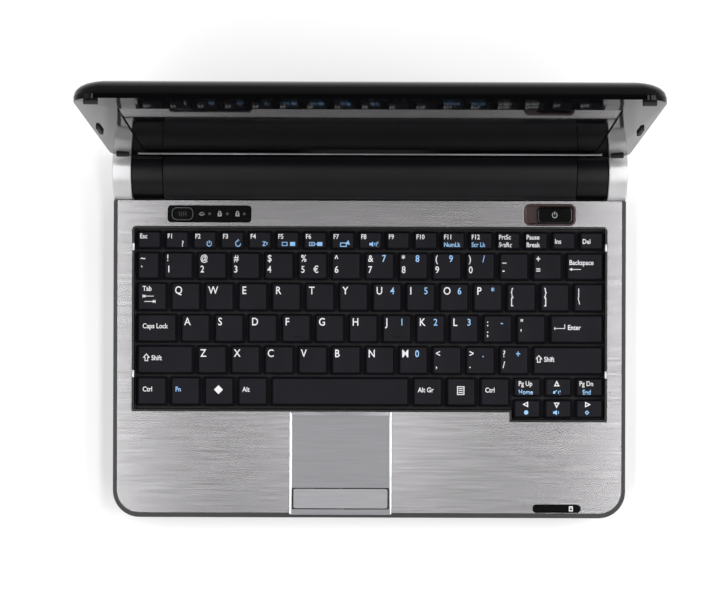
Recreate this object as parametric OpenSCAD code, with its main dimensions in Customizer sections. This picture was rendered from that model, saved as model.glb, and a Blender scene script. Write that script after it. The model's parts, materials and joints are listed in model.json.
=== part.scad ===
// Small netbook laptop, standing open on its rubber feet.
//
// The base holds the keyboard, touchpad, boards and drive. A cylindrical battery fills the
// space between two hinge knuckles, and the lid turns on steel pins on the knuckles' axis.
// Inside the modules X runs along the width, Y to the rear, and the deck's rear edge is at
// Y = 0 and Z = 0. place_base() moves all of it to the finished frame: the origin is on the
// table, under the middle of the open laptop.

/* [Base] */
// Overall width of the base and the lid
case_w = 260; // [258:1:320]
// Depth of the flat deck, from its rear edge to the front
deck_d = 160.7; // [158:0.1:200]
// Height of the base, from its underside to the deck
case_h = 20.5; // [19.5:0.1:26]
// Thickness of the side walls
wall = 2; // [1.6:0.1:2.6]
// Thickness of the floor of the base
floor_t = 2.4; // [2:0.1:3]
// Radius of the two front corners, seen from above
corner_r = 13.5; // [8:0.5:20]
// Width of the dark rim that frames the silver deck at the sides
rim_w = 2; // [1.5:0.1:3]
// Width of the same rim along the front
rim_front = 2.4; // [1.8:0.1:3]
// Height of the upper half of the casing
upper_h = 7; // [6:0.5:7.5]
// Thickness of the silver deck panel
deck_t = 1.2; // [1:0.1:1.6]
// Height of the rubber feet
foot_h = 2; // [1:0.5:4]
// Radius of the rubber feet
foot_r = 6; // [4:0.5:7]

/* [Keyboard] */
// Width of the whole field of keys
field_w = 238.5; // [220:0.5:240]
// Front-to-rear pitch of the letter rows
row_pitch = 16; // [14:0.5:16.5]
// Front-to-rear pitch of the digit row
digit_pitch = 15.5; // [14:0.1:16.5]
// Front-to-rear pitch of the function row
fn_pitch = 10.6; // [9:0.1:12]
// Gap between neighbouring key bases
key_gap = 0.9; // [0.6:0.1:1.4]
// Height of a key cap
key_h = 3.3; // [2.6:0.1:4]
// How far the key tops lie below the deck
key_drop = 0.2; // [0.1:0.1:0.8]
// Travel of a key
key_travel = 2; // [1.5:0.1:2.4]
// Slope of a key's sides, each side
key_side = 1.5; // [0.8:0.1:2]
// Slope of a key's front
key_front = 1.4; // [1:0.1:2.5]
// Slope of a key's rear
key_rear = 0.9; // [0.4:0.1:1.5]
// Depth of the dish in a key top
key_dish = 0.3; // [0.1:0.05:0.5]

/* [Touchpad] */
// Left edge of the touchpad zone, from the middle of the base
pad_left = -40.4; // [-50:0.1:-30]
// Right edge of the touchpad zone
pad_right = 11.4; // [5:0.1:40]
// How far the touch surface lies below the deck
pad_drop = 0.5; // [0.2:0.1:0.8]
// Front-to-rear depth of the button bar
button_d = 9.9; // [8:0.1:14]
// Distance from the front of the button bar to the front of the base
button_front = 4.6; // [3.5:0.1:8]
// Tilt of the button bar to each side, in degrees
button_tilt = 1.2; // [0.5:0.1:1.5]

/* [Hinge and battery] */
// Distance of the hinge axis behind the rear edge of the deck
hinge_y = 14.3; // [14:0.1:16]
// Depth of the hinge axis below the deck
hinge_drop = 5; // [4.5:0.1:6]
// Radius of the hinge caps and the battery
barrel_r = 14.6; // [14:0.1:14.8]
// Radius of the rounded front of the battery and the caps
brow_r = 20.1; // [19:0.1:24]
// Width of a hinge cap
cap_w = 9.5; // [7:0.1:12]
// Width of a hinge knuckle
knuckle_w = 15.8; // [12:0.1:20]
// Radius of a hinge knuckle
knuckle_r = 12.8; // [10:0.1:12.8]
// Radius of the hinge pins
pin_r = 3; // [2:0.1:4]
// Radial clearance of the pins in the knuckles
pin_gap = 0.05; // [0.02:0.01:0.1]
// Gap between parts that turn past each other
side_gap = 0.2; // [0.1:0.05:0.5]
// Thickness of the shell of the battery and the caps
shell_t = 1.8; // [1.2:0.1:2.2]
// Diameter of a battery cell
cell_d = 18.3; // [14:0.1:18.5]

/* [Lid] */
// Angle of the lid from closed, in degrees
lid_open = 95.3; // [90:0.1:110]
// Gap between the closed lid and the deck
lid_gap = 1; // [0.8:0.1:2]
// Thickness of the lid
lid_t = 10.5; // [8:0.1:12]
// Thickness of the bezel's rim
bezel_t = 3; // [2.5:0.1:4]
// Slope of the bezel's face, back from the screen to its top and sides, in degrees
bezel_slope = 2.5; // [0:0.1:3]
// How far the edge of the lid's back curves in
lid_curve = 12; // [6:1:16]
// Corner radius of the lid, seen face on
lid_corner_r = 10; // [6:1:16]
// Width of the visible screen
screen_w = 224.6; // [200:0.1:226]
// Height of the visible screen
screen_h = 125.2; // [100:0.1:128]
// Bezel below the screen
chin = 14.3; // [12:0.1:20]
// How far the screen lies below the face of the bezel
screen_drop = 0.8; // [0.4:0.1:1.2]
// Height of the rubber bumpers on the bezel
bumper_h = 0.8; // [0.4:0.1:0.9]

/* [Hidden] */
$fn = 64;

// Colours
silver = [0.70, 0.69, 0.68];
dark_grey = [0.36, 0.36, 0.37];
black = [0.06, 0.06, 0.07];
key_black = [0.12, 0.12, 0.14];
steel = [0.75, 0.75, 0.76];
board_green = [0.06, 0.30, 0.20];
chip_black = [0.10, 0.10, 0.10];

// Levels of the base
base_z = -case_h;
floor_z = base_z + floor_t;
split_z = -upper_h;
half_w = case_w / 2;
front_y = -deck_d;
seam = 0.1;     // play between parts of the casing
cut = 1;        // how far a cut runs past a surface

// Hinge axis, battery and knuckles
hinge_z = -hinge_drop;
brow_y = hinge_y + 2.7;
brow_z = hinge_z - 5.7;
cap_x = half_w - cap_w;
knuckle_out = cap_x - side_gap;
knuckle_in = knuckle_out - knuckle_w;
battery_x = knuckle_in - side_gap;
bay_y = 7.5;        // how far the floor runs under the battery
ear_y = 20.5;       // and under the knuckles and caps

// Lid, measured from the hinge axis with the lid closed: u to the front, w up
lid_w0 = hinge_drop + lid_gap;
lid_w1 = lid_w0 + lid_t;
bezel_w1 = lid_w0 + bezel_t;
lid_u0 = 14.1;
lid_u1 = lid_u0 + deck_d + 0.3;
screen_u0 = lid_u0 + chin;
screen_u1 = screen_u0 + screen_h;
lid_frame = 6;      // solid edge round the lid's hollow
bezel_skin = 1.9;   // thickness of the bezel over the lid's hollow
bumper_seat = 1.2;  // depth of the pockets that the bumpers stand in
panel_edge = 3.6;   // how far the display runs on under the bezel
panel_t = 3.5;
back_t = 2;
curve_steps = [0, 18, 36, 54, 72, 90];
hinge_edge_share = 0.35;    // the lid's back curves in less along the hinge
function curve_in(a) = lid_curve * (1 - cos(a));
function curve_w(a) = bezel_w1 + (lid_w1 - bezel_w1) * sin(a);

// Place of the finished frame's origin
lean = lid_open - 90;
lid_rear = max([for (a = curve_steps)
    (lid_u1 - curve_in(a)) * sin(lean) + curve_w(a) * cos(lean)]);
rear_y = hinge_y + max(lid_rear, barrel_r);
shift_y = -(front_y + rear_y) / 2;
lift = case_h + foot_h;

// Keyboard: widths of the keys of each row, in key units
unit = field_w / 14;
field_x = -field_w / 2 + 0.3;
field_y = -14.8;
digits_y = field_y - fn_pitch;
arrow_u = 2.78 / 3;
fn_row = [for (i = [0:16]) 14 / 17];
digit_row = [0.78, for (i = [1:12]) 1, 1.22];
upper_row = [for (i = [0:13]) 1];
home_row = [1.3, for (i = [0:10]) 1, 1.7];
lower_row = [1.79, for (i = [0:9]) 1, 2.21];
bottom_row = [1, 1, 1, 1, 4.22, 1, 1, 1, arrow_u, arrow_u, arrow_u];
function row_depth(i) = i == 0 ? digit_pitch : row_pitch;
function row_y(i) = i == 0 ? digits_y : row_y(i - 1) - row_depth(i - 1);
function key_x(row, i) = i == 0 ? field_x : key_x(row, i - 1) + row[i - 1] * unit;
arrow_d = 11;
key_z0 = -key_drop - key_h;
key_hollow = 1.5;       // height of the hollow in a key
key_room = 0.5;         // between a pressed key and the pan under it
tray_floor_z = key_z0 - key_travel - key_room;
tray_t = 0.8;
tray_side = 1.4;        // keys to the edge of the well
well_x = field_w / 2 + tray_side;
well_rear = field_y + 1.9;
well_r = 2.2;           // rear corners of the well
well_front = row_y(5) - 2.1;
notch_x = key_x(bottom_row, 8) - 1.1;
notch_front = row_y(4) - 2 * arrow_d - 1.1;
tray_wall = 1;
dome_t = 0.3;
dome_r = 2.6;
dome_h = key_hollow + key_room - dome_t - 0.2;

// Touchpad and its button bar
pad_front = front_y + 1.3;
pad_t = 1.2;
button_t = 1.6;
button_y0 = front_y + button_front;
button_y1 = button_y0 + button_d;
button_gap = 0.5;
button_side = 1.3;      // rim of the touchpad beside the button
button_r = 0.9;
button_x = (pad_left + pad_right) / 2;
button_top = -0.3;
button_pin_r = 0.8;
button_pin_z = button_top - button_t - 0.7;
button_lug = 1.4;

// Status strip at the left and power switch at the right
status = [-half_w + 27.4, -half_w + 69.9, -11, -2.5];    // left, right, front, rear
status_r = 1.9;
status_t = 1;
knob = [status[0] + 2.1, status[0] + 13, status[2] + 1, status[3] - 1];
knob_travel = 2.5;
knob_top = 0.6;
light_x = [status[0] + 21.3, status[0] + 30.3, status[0] + 38.8];
light_r = 0.7;
surround = [half_w - 51.7, half_w - 25.6, -12.2, -1.3];
surround_r = 3;
surround_t = 2.6;
surround_rim = 1.1;
slider_r = surround_r - surround_rim;
surround_floor = 0.9;
slider_travel = 5;
slider_play = 0.3;
slider = [surround[0] + surround_rim + slider_travel + 2 * slider_play,
          surround[1] - surround_rim - slider_play,
          surround[2] + surround_rim + 0.1, surround[3] - surround_rim - 0.4];
slider_top = 0.6;
label = [half_w - 47, half_w - 22.6, front_y + rim_front + 0.3, front_y + rim_front + 4.5];
label_r = 2;
label_t = 0.5;

// ---------------------------------------------------------------------------
// Helpers

module place_base() {
    translate([0, shift_y, lift]) children();
}

// Takes a closed lid, drawn from the hinge axis, to its open place.
module place_lid() {
    place_base() translate([0, hinge_y, hinge_z]) rotate([-lid_open, 0, 0]) children();
}

// A block given by its limits along X, Y and Z.
module block(x0, x1, y0, y1, z0, z1) {
    translate([x0, y0, z0]) cube([x1 - x0, y1 - y0, z1 - z0]);
}

// A Y-Z outline run along X.
module along_x(x0, x1) {
    translate([x0, 0, 0]) rotate([90, 0, 90]) linear_extrude(x1 - x0) children();
}

// A rectangle with round corners, given by its limits.
module round_rect(x0, x1, y0, y1, r) {
    translate([x0 + r, y0]) square([x1 - x0 - 2 * r, y1 - y0]);
    translate([x0, y0 + r]) square([x1 - x0, y1 - y0 - 2 * r]);
    for (x = [x0 + r, x1 - r], y = [y0 + r, y1 - r]) translate([x, y]) circle(r);
}

module round_block(x0, x1, y0, y1, r, z0, z1) {
    translate([0, 0, z0]) linear_extrude(z1 - z0) round_rect(x0, x1, y0, y1, r);
}

// The base seen from above, drawn in by in_x at the sides and in_y at the front.
module case_outline(in_x, in_y) {
    r = corner_r - in_x;
    x = half_w - in_x;
    y = front_y + in_y;
    translate([-x, y + r]) square([2 * x, -y - r]);
    translate([-x + r, y]) square([2 * x - 2 * r, -y]);
    for (s = [-1, 1]) translate([s * (x - r), y + r]) circle(r);
}

// Outline of the battery and the hinge caps, drawn in by t.
module barrel_outline(t) {
    intersection() {
        translate([hinge_y, hinge_z]) circle(barrel_r - t);
        translate([brow_y, brow_z]) circle(brow_r - t);
    }
}

// Room for the battery and the caps in the rear walls.
module barrel_room() {
    translate([-half_w - cut, hinge_y, hinge_z]) rotate([0, 90, 0])
        cylinder(r = barrel_r + seam, h = case_w + 2 * cut);
}

// The well that the keyboard sits in, grown by g.
module well_outline(g) {
    r = well_r + g;
    x = well_x + g;
    y = well_rear + g - r;
    translate([-x, well_front - g]) square([2 * x, y - well_front + g]);
    translate([notch_x - g, notch_front - g]) square([x - notch_x + g, y - notch_front + g]);
    translate([-x + r, y]) square([2 * x - 2 * r, r]);
    for (s = [-1, 1]) translate([s * (x - r), y]) circle(r);
}

// The touchpad zone, grown by g.
module pad_outline(g) {
    translate([pad_left - g, pad_front - g])
        square([pad_right - pad_left + 2 * g, well_front - tray_wall - pad_front + g]);
}

// ---------------------------------------------------------------------------
// Casing of the base

foot_in = 13;       // feet and screws, in from the sides
rear_foot_in = 16;
screw_in = 8;
foot_places = [[-half_w + foot_in, front_y + 15], [half_w - foot_in, front_y + 15],
               [-half_w + rear_foot_in, 8], [half_w - rear_foot_in, 8]];
screw_places = [[-half_w + screw_in, front_y + 42], [half_w - screw_in, front_y + 42],
                [-half_w + screw_in, -78], [half_w - screw_in, -56], [-40, -12], [40, -12]];
screw_r = 1.1;
head_r = 2.4;
head_h = 1.1;
memory_bay = [30, 100, -70, -34];         // left, right, front, rear
drive_bay = [-102, -24, -152, -75];
door_t = 1.4;
door_gap = 0.3;
door_lip = 2;
latch_x = 70;
latch = [14, 5];
latch_y = -8;
latch_travel = 6;
latch_flange = 2;
fan_place = [-half_w + 38, -38];
fan_r = 20;
port_z = -13;
usb_places = [[-1, -62], [1, -70], [1, -92]];    // side, Y
usb = [13.2, 6];
jack_y = [-96, -108];
jack_r = 1.8;
jack_body = [6.4, 6.4, 14];
power_y = -14;
power_r = 2.8;
power_body = [9, 9, 12];
card = [half_w - 50, half_w - 25.5];      // left and right ends of the slot
card_h = 2.6;
card_z = -12.5;
card_body_h = 4.6;

module door_hole(bay) {
    block(bay[0], bay[1], bay[2], bay[3], base_z - cut, base_z + door_t);
    block(bay[0] + door_lip, bay[1] - door_lip, bay[2] + door_lip, bay[3] - door_lip,
          base_z - cut, floor_z + cut);
}

module latch_hole(side) {
    x = side * latch_x;
    block(x - latch[0] / 2 - door_gap, x + latch[0] / 2 + latch_travel + door_gap,
          latch_y - latch[1] / 2 - door_gap, latch_y + latch[1] / 2 + door_gap,
          base_z - cut, floor_z + cut);
}

// Holes in the walls for the sockets. Each is a touch wider than what it holds.
module port_holes() {
    for (p = usb_places)
        block(p[0] > 0 ? half_w - wall - cut : -half_w - cut,
              p[0] > 0 ? half_w + cut : -half_w + wall + cut,
              p[1] - usb[0] / 2 - seam, p[1] + usb[0] / 2 + seam,
              port_z - usb[1] / 2 - seam, port_z + usb[1] / 2 + seam);
    for (y = jack_y) translate([-half_w - cut, y, port_z]) rotate([0, 90, 0])
        cylinder(r = 3.2, h = wall + 2 * cut);
    translate([-half_w - cut, power_y, port_z]) rotate([0, 90, 0])
        cylinder(r = 4.2, h = wall + 2 * cut);
    block(card[0] - seam, card[1] + seam, front_y - cut, front_y + wall + cut,
          card_z - card_h / 2 - seam, card_z + card_h / 2 + seam);
}

module bottom_case() {
    color(dark_grey) place_base() difference() {
        union() {
            translate([0, 0, base_z]) linear_extrude(floor_t) case_outline(0, 0);
            difference() {
                translate([0, 0, base_z]) linear_extrude(split_z - base_z) difference() {
                    case_outline(0, 0);
                    translate([0, -wall]) case_outline(wall, wall + wall);
                }
                barrel_room();
            }
            block(-half_w, half_w, 0, bay_y, base_z, floor_z);
            for (s = [-1, 1]) translate([s * (battery_x + half_w + side_gap) / 2, 0, 0])
                block(-(half_w - battery_x - side_gap) / 2, (half_w - battery_x - side_gap) / 2,
                      0, ear_y, base_z, floor_z);
            for (p = screw_places) translate([p[0], p[1], base_z])
                cylinder(r = head_r + 1.2, h = 6);
        }
        for (p = screw_places) translate([p[0], p[1], base_z - cut]) {
            cylinder(r = screw_r + 0.1, h = 20);
            cylinder(r = head_r + 0.2, h = head_h + 0.3 + cut);
        }
        door_hole(memory_bay);
        door_hole(drive_bay);
        for (s = [-1, 1]) latch_hole(s);
        port_holes();
        // Air intake under the fan and outlet in the left wall
        for (i = [-4:4])
            block(fan_place[0] - 14, fan_place[0] + 14, fan_place[1] + i * 3.6 - 0.7,
                  fan_place[1] + i * 3.6 + 0.7, base_z - cut, floor_z + cut);
        for (i = [-5:5])
            block(-half_w - cut, -half_w + wall + cut, fan_place[1] - 1 + i * 2.8 - 0.7,
                  fan_place[1] - 1 + i * 2.8 + 0.7, port_z - 3.5, port_z + 3.5);
    }
}

module top_case() {
    color(dark_grey) place_base() difference() {
        translate([0, 0, split_z]) linear_extrude(-split_z) case_outline(0, 0);
        // hollow below the deck, with a ledge that the deck panel rests on
        translate([0, -1.2, split_z - cut]) linear_extrude(-split_z - 2 * deck_t + cut)
            case_outline(wall, wall + rim_front - rim_w + 1.2);
        translate([0, -1.2, -2 * deck_t - cut]) linear_extrude(2 * deck_t + 2 * cut)
            case_outline(rim_w + 4, rim_front + 4 + 1.2);
        translate([0, 0, -deck_t]) linear_extrude(deck_t + cut) case_outline(rim_w, rim_front);
        block(-half_w + rim_w, half_w - rim_w, -corner_r, cut, -deck_t, cut);
        block(-half_w + rim_w + 4, half_w - rim_w - 4, -corner_r, -1.2, -2 * deck_t - cut, cut);
        // touchpad zone runs out over the front
        block(pad_left - seam, pad_right + seam, pad_front - seam, well_front,
              button_pin_z - 2, cut);
        barrel_room();
        // small round hole of the microphone
        translate([-half_w + 27.3, front_y - cut, -3.4]) rotate([-90, 0, 0])
            cylinder(r = 0.6, h = wall + 2 * cut);
    }
}

module deck_panel() {
    color(silver) place_base() difference() {
        translate([0, 0, -deck_t]) linear_extrude(deck_t) difference() {
            case_outline(rim_w + 0.02, rim_front + 0.02);
            well_outline(0);
            pad_outline(seam);
            round_rect(status[0] - seam, status[1] + seam, status[2] - seam,
                       status[3] + seam, status_r + seam);
            round_rect(surround[0] - seam, surround[1] + seam, surround[2] - seam,
                       surround[3] + seam, surround_r + seam);
        }
        round_block(label[0] - seam, label[1] + seam, label[2] - seam, label[3] + seam,
                    label_r + seam, -label_t, cut);
    }
}

// A black pan under the keys. Its rim stands inside the deck's opening.
module keyboard_tray() {
    color(black) place_base() difference() {
        translate([0, 0, tray_floor_z - tray_t]) linear_extrude(-0.5 - tray_floor_z + tray_t)
            well_outline(-seam);
        translate([0, 0, tray_floor_z]) linear_extrude(-tray_floor_z + cut)
            well_outline(-seam - tray_wall);
        // seats for the retaining clips
        for (s = [-1, 1], y = clip_y)
            block(s > 0 ? well_x - 1.3 : -well_x - cut, s > 0 ? well_x + cut : -well_x + 1.3,
                  y - clip_l / 2, y + clip_l / 2, -2.6, cut);
    }
}

clip_y = [-23.5, -88];
clip_l = 4;

module keyboard_clips() {
    color(steel) place_base() for (s = [-1, 1], y = clip_y)
        block(s > 0 ? well_x - 1.2 : -well_x + seam, s > 0 ? well_x - seam : -well_x + 1.2,
              y - clip_l / 2 + seam, y + clip_l / 2 - seam, -2.6, -0.3);
}

module dome() {
    cylinder(r1 = dome_r, r2 = dome_r / 2, h = dome_h);
}

// Thin sheet with one rubber dome under each key.
module dome_sheet() {
    z1 = tray_floor_z + dome_t;
    color(black) place_base() union() {
        translate([0, 0, tray_floor_z]) linear_extrude(dome_t) well_outline(-tray_wall - 0.6);
        rows = [fn_row, digit_row, upper_row, home_row, lower_row, bottom_row];
        for (r = [0:5]) for (i = [0:len(rows[r]) - 1]) {
            y = r == 0 ? field_y - fn_pitch / 2 :
                (r == 5 && i > 7) ? row_y(4) - arrow_d / 2 : row_y(r - 1) - row_depth(r - 1) / 2;
            translate([key_x(rows[r], i) + rows[r][i] * unit / 2, y, z1]) dome();
        }
        for (i = [8:10])
            translate([key_x(bottom_row, i) + arrow_u * unit / 2, row_y(4) - 1.5 * arrow_d, z1])
                dome();
    }
}

// ---------------------------------------------------------------------------
// Keys

// A hollow key cap on a cell of w by d, its rear left corner at the origin.
module key_cap(w, d) {
    x0 = key_gap / 2;
    x1 = w - key_gap / 2;
    y0 = -d + key_gap / 2;
    y1 = -key_gap / 2;
    z1 = -key_drop;
    top_w = x1 - x0 - 2 * key_side;
    dish_r = (pow(top_w, 2) / 4 + pow(key_dish, 2)) / (2 * key_dish);
    difference() {
        intersection() {
            along_x(x0, x1) polygon([[y0, key_z0], [y1, key_z0], [y1 - key_rear, z1],
                                     [y0 + key_front, z1]]);
            translate([0, y1, 0]) rotate([90, 0, 0]) linear_extrude(y1 - y0)
                polygon([[x0, key_z0], [x1, key_z0], [x1 - key_side, z1], [x0 + key_side, z1]]);
        }
        // the widest keys are flat
        if (w < 2 * unit)
            translate([(x0 + x1) / 2, y1 + cut, z1 + dish_r - key_dish]) rotate([90, 0, 0])
                cylinder(r = dish_r, h = d + 2 * cut, $fn = ceil(2 * PI * dish_r));
        block(x0 + 1.6, x1 - 1.6, y0 + 1.8, y1 - 1.2, key_z0 - cut, key_z0 + key_hollow);
    }
}

// The keys of one row from first to last, with their rear edge at y.
module keys(row, first, last, y, d) {
    color(key_black) place_base() for (i = [first:last])
        translate([key_x(row, i), y, 0]) key_cap(row[i] * unit, d);
}

module function_keys() { keys(fn_row, 0, 16, field_y, fn_pitch); }
module digit_keys() { keys(digit_row, 0, 13, row_y(0), digit_pitch); }
module upper_letter_keys() { keys(upper_row, 0, 13, row_y(1), row_pitch); }
module home_letter_keys() { keys(home_row, 0, 11, row_y(2), row_pitch); }
module enter_key() { keys(home_row, 12, 12, row_y(2), row_pitch); }
module left_shift_key() { keys(lower_row, 0, 0, row_y(3), row_pitch); }
module lower_letter_keys() { keys(lower_row, 1, 10, row_y(3), row_pitch); }
module right_shift_key() { keys(lower_row, 11, 11, row_y(3), row_pitch); }
module left_modifier_keys() { keys(bottom_row, 0, 3, row_y(4), row_pitch); }
module space_bar() { keys(bottom_row, 4, 4, row_y(4), row_pitch); }
module right_modifier_keys() { keys(bottom_row, 5, 7, row_y(4), row_pitch); }
module arrow_keys() {
    keys(bottom_row, 8, 10, row_y(4), arrow_d);
    keys(bottom_row, 8, 10, row_y(4) - arrow_d, arrow_d);
}

// ---------------------------------------------------------------------------
// Touchpad, status strip, power switch

module button_outline(g) {
    round_rect(pad_left + button_side - g, pad_right - button_side + g, button_y0 - g,
               button_y1 + g, button_r + g);
}

module touchpad() {
    color(silver) place_base() difference() {
        union() {
            translate([0, 0, -pad_drop - pad_t]) linear_extrude(pad_t) pad_outline(0);
            for (y = [button_y0 - 0.3 - button_lug, button_y1 + 0.3])
                block(button_x - 2, button_x + 2, y, y + button_lug,
                      button_pin_z - 1.8, -pad_drop - 0.2);
        }
        translate([0, 0, -pad_drop - pad_t - cut]) linear_extrude(pad_t + 2 * cut)
            button_outline(button_gap);
        translate([button_x, button_y1 + 3, button_pin_z]) rotate([90, 0, 0])
            cylinder(r = button_pin_r + 0.05, h = button_d + 6);
        block(pad_left - cut, pad_right + cut, pad_front - cut, pad_front + 0.4,
              button_pin_z - 4, -pad_drop - pad_t);
    }
}

// One bar for both buttons. It rocks on a pin under its middle.
module touchpad_button() {
    color(silver) place_base() union() {
        translate([0, 0, button_top - button_t]) linear_extrude(button_t) button_outline(0);
        block(button_x - 0.6, button_x + 0.6, button_y0, button_y1, button_pin_z,
              button_top - button_t + 0.2);
        translate([button_x, button_y1 + 1.2, button_pin_z]) rotate([90, 0, 0])
            cylinder(r = button_pin_r, h = button_d + 2.4);
    }
}

module status_panel() {
    stem = 4;
    x = (knob[0] + knob[1]) / 2;
    y = (knob[2] + knob[3]) / 2;
    color(black) place_base() difference() {
        round_block(status[0], status[1], status[2], status[3], status_r, -status_t, 0);
        block(x - stem / 2 - 0.3, x + stem / 2 + knob_travel + 0.3, y - 1.3, y + 1.3,
              -status_t - cut, cut);
        for (lx = light_x) translate([lx, (status[2] + status[3]) / 2, -status_t - cut])
            cylinder(r = light_r, h = status_t + 2 * cut);
    }
}

module status_lights() {
    color("white") place_base() for (lx = light_x)
        translate([lx, (status[2] + status[3]) / 2, -3]) cylinder(r = light_r - 0.02, h = 2.95);
}

// Oval knob on top of the panel, with a stem through its slot.
module wireless_slider() {
    x = (knob[0] + knob[1]) / 2;
    y = (knob[2] + knob[3]) / 2;
    color(black) place_base() union() {
        round_block(knob[0], knob[1], knob[2], knob[3], 3.2, 0.05, knob_top);
        block(x - 2, x + 2, y - 1, y + 1, -status_t - 0.6, 0.1);
        block(x - 3.5, x + 3.5, y - 2.6, y + 2.6, -status_t - 1, -status_t - 0.05);
    }
}

module power_surround() {
    color([0.15, 0.13, 0.13]) place_base() difference() {
        round_block(surround[0], surround[1], surround[2], surround[3], surround_r,
                    -surround_t, 0);
        round_block(surround[0] + surround_rim, surround[1] - surround_rim,
                    surround[2] + surround_rim, surround[3] - surround_rim, slider_r,
                    -surround_t + surround_floor, cut);
    }
}

module power_slider() {
    color(black) place_base()
        round_block(slider[0], slider[1], slider[2], slider[3], slider_r,
                    -surround_t + surround_floor + 0.05, slider_top);
}

module card_label() {
    color(black) place_base()
        round_block(label[0], label[1], label[2], label[3], label_r, -label_t, 0);
}

// ---------------------------------------------------------------------------
// Battery, caps and hinges

module battery_case() {
    color(black) place_base() difference() {
        along_x(-battery_x, battery_x) barrel_outline(0);
        translate([-battery_x + shell_t, hinge_y, hinge_z]) rotate([0, 90, 0])
            cylinder(d = cell_d + 0.4, h = 2 * (battery_x - shell_t));
    }
}

module battery_cells() {
    cell_l = 65;
    color([0.2, 0.4, 0.6]) place_base() for (i = [-1:1])
        translate([i * (cell_l + 0.6) - cell_l / 2, hinge_y, hinge_z]) rotate([0, 90, 0])
            cylinder(d = cell_d, h = cell_l);
}

module hinge_cap(side) {
    x0 = side > 0 ? cap_x : -half_w;
    inner = side > 0 ? cap_x - cut : -half_w + shell_t;
    color(silver) place_base() difference() {
        along_x(x0, x0 + cap_w) intersection() {
            barrel_outline(0);
            translate([-cut, floor_z + seam]) square([40, 40]);
        }
        along_x(inner, inner + cap_w - shell_t + cut) union() {
            barrel_outline(shell_t);
            translate([hinge_y - 5, floor_z - cut]) square([10, 10]);
        }
    }
}
module hinge_cap_left() { hinge_cap(-1); }
module hinge_cap_right() { hinge_cap(1); }

// Steel upright in the cap, with the pin that the lid turns on.
module hinge_bracket(side) {
    pin_x0 = side > 0 ? knuckle_in + 2 : -cap_x - 3;
    plate_x = side > 0 ? cap_x + 1.6 : -cap_x - 3;
    color(steel) place_base() union() {
        translate([pin_x0, hinge_y, hinge_z]) rotate([0, 90, 0])
            cylinder(r = pin_r, h = knuckle_w + side_gap + 1);
        along_x(plate_x, plate_x + 1.4) union() {
            translate([hinge_y, hinge_z]) circle(6);
            translate([hinge_y - 4, floor_z]) square([8, hinge_z - floor_z]);
        }
    }
}
module hinge_bracket_left() { hinge_bracket(-1); }
module hinge_bracket_right() { hinge_bracket(1); }

// Part of the lid: a drum round the pin, with a web up to the lid's edge.
module knuckle(side) {
    x0 = side > 0 ? knuckle_in : -knuckle_out;
    color(black) place_lid() difference() {
        union() {
            translate([x0, 0, 0]) rotate([0, 90, 0]) cylinder(r = knuckle_r, h = knuckle_w);
            along_x(x0, x0 + knuckle_w)
                polygon([[-2, lid_w0 - 1], [-lid_u0, lid_w0], [-lid_u0, bezel_w1 + 2],
                         [-lid_u0 / 2, knuckle_r - 1.5], [-2, knuckle_r - 1]]);
        }
        translate([x0 - cut, 0, 0]) rotate([0, 90, 0])
            cylinder(r = pin_r + pin_gap, h = knuckle_w + 2 * cut);
    }
}
module knuckle_left() { knuckle(-1); }
module knuckle_right() { knuckle(1); }

// ---------------------------------------------------------------------------
// Lid, drawn closed from the hinge axis

module lid_plate(inset, rear_inset, w0, w1) {
    translate([0, 0, w0]) linear_extrude(w1 - w0)
        round_rect(-half_w + inset, half_w - inset, -lid_u1 + inset, -lid_u0 - rear_inset,
                   max(2, lid_corner_r - inset * 0.4));
}

module lid_cover() {
    color(black) place_lid() difference() {
        hull() for (a = curve_steps)
            lid_plate(curve_in(a), curve_in(a) * hinge_edge_share, curve_w(a) - 0.01,
                      curve_w(a), $fn = 32);
        block(-half_w + lid_frame, half_w - lid_frame, -lid_u1 + lid_frame,
              -lid_u0 - lid_frame, bezel_w1 - cut, lid_w1 - back_t);
    }
}

// What the slope takes off the bezel's face, over a run from the edge of the screen.
module slope_wedge(run) {
    polygon([[0, lid_w0 - cut], [run, lid_w0 - cut], [run, lid_w0 + run * tan(bezel_slope)],
             [0, lid_w0]]);
}

module lid_bezel() {
    color(black) place_lid() difference() {
        lid_plate(0, 0, lid_w0, bezel_w1 - 0.02);
        block(-screen_w / 2, screen_w / 2, -screen_u1, -screen_u0, lid_w0 - cut, bezel_w1);
        display_block(seam, bezel_w1 + cut);
        bumper_blocks(0.05, lid_w0 - cut);
        block(-half_w + lid_frame, half_w - lid_frame, -lid_u1 + lid_frame,
              -lid_u0 - lid_frame, lid_w0 + bezel_skin, bezel_w1 + cut);
        along_x(-half_w - cut, half_w + cut)
            translate([-screen_u1, 0]) mirror([1, 0]) slope_wedge(lid_u1 - screen_u1 + cut);
        for (s = [0, 1]) mirror([s, 0, 0])
            translate([screen_w / 2, 0, 0]) rotate([90, 0, 0]) linear_extrude(lid_u1 + cut)
                slope_wedge(half_w - screen_w / 2 + cut);
    }
}

// The display module up to w1, grown by g at its sides.
module display_block(g, w1) {
    block(-screen_w / 2 - panel_edge - g, screen_w / 2 + panel_edge + g,
          -screen_u1 - panel_edge - g, -screen_u0 + panel_edge + g, lid_w0 + screen_drop, w1);
}

module display_panel() {
    color([0.05, 0.05, 0.06]) place_lid() display_block(0, lid_w0 + screen_drop + panel_t);
}

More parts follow.
